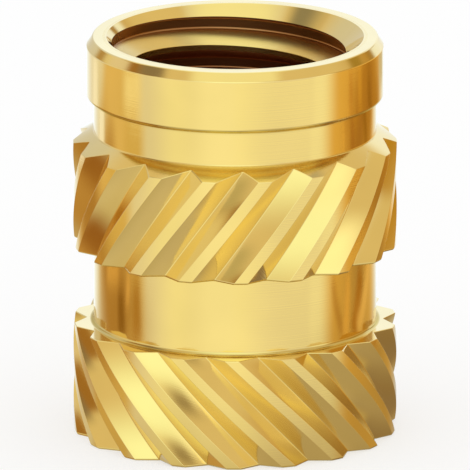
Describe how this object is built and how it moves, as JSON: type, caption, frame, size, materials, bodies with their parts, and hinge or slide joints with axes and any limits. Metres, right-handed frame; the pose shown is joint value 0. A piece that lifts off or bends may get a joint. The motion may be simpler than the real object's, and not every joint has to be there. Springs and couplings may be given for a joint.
{
  "type": "threaded insert",
  "caption": "Knurled brass insert, melted or pressed into a plastic part to give it a metal screw thread; plain collar, and grooved bands that lean opposite ways.",
  "frame": {"origin": "centre of the foot face, on the axis of the thread", "axes": "+Z along the thread axis, from the foot to the collar's top face; the grooves' setting is measured from -Y"},
  "size_m": [0.004, 0.004, 0.005],
  "materials": {
    "brass": "bright turned"
  },
  "bodies": {
    "root": {"insert": "brass"}
  },
  "joints": []
}
